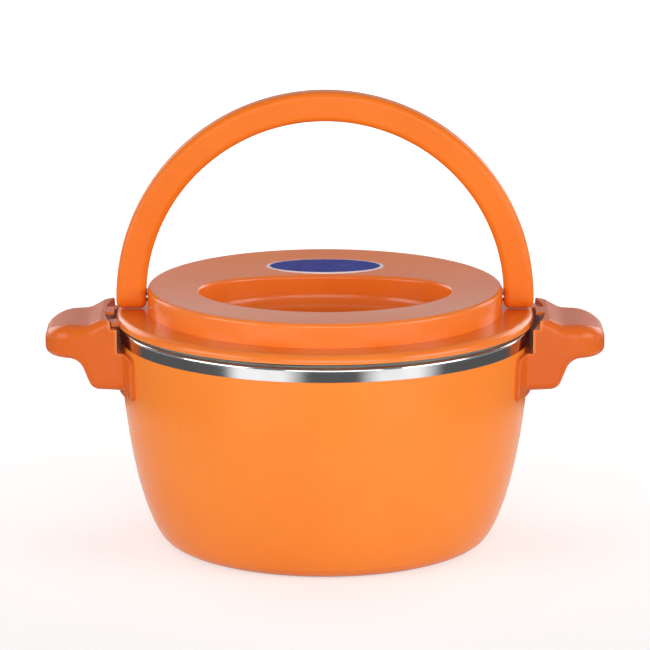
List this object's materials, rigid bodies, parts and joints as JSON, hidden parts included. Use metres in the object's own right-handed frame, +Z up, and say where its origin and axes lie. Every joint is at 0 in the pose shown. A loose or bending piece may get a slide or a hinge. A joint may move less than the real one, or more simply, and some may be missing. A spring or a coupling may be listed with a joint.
{
  "type": "insulated casserole",
  "caption": "Round insulated serving pot with a steel inner bowl, two side handles, a twist-lock lift-off lid and a folding carrying bail.",
  "frame": {"origin": "centre of the foot ring's underside", "axes": "+Z up, side handles and bail pivots along X, -Y the front of the lid"},
  "size_m": [0.2872, 0.215, 0.235],
  "materials": {
    "orange_plastic": "glossy moulded polypropylene",
    "bail_plastic": "glossy moulded polypropylene",
    "inner_plastic": "natural moulded polypropylene",
    "steel": "polished stainless steel",
    "fastener_steel": "plain",
    "foam": "rigid polyurethane foam",
    "silicone": "matt silicone",
    "badge_blue": "glossy, blank"
  },
  "bodies": {
    "pot": {"outer_shell": "orange_plastic", "inner_pot": "steel", "pot_foam": "foam", "base_cap": "orange_plastic", "handle_left": "orange_plastic", "handle_right": "orange_plastic", "handle_screws_left": "fastener_steel", "handle_screws_right": "fastener_steel"},
    "seal": {"lid_seal": "silicone"},
    "lid": {"lid_cover": "orange_plastic", "lid_pan": "inner_plastic", "lid_foam": "foam", "lid_cap": "inner_plastic", "badge": "badge_blue"},
    "bail": {"bail": "bail_plastic", "pivot_pin_left": "fastener_steel", "pivot_pin_right": "fastener_steel"}
  },
  "joints": [
    {"name": "lid_lift", "type": "slide", "parent": "pot", "child": "seal", "axis": [0, 0, 1], "range_m": [0, 0.15]},
    {"name": "lid_twist", "type": "hinge", "parent": "seal", "child": "lid", "pos_m": [0, 0, 0.1168], "axis": [0, 0, -1], "range_deg": [0, 9.5]},
    {"name": "bail_swing", "type": "hinge", "parent": "lid", "child": "bail", "pos_m": [0, 0, 0.1277], "axis": [1, 0, 0], "range_deg": [-90, 90]}
  ]
}
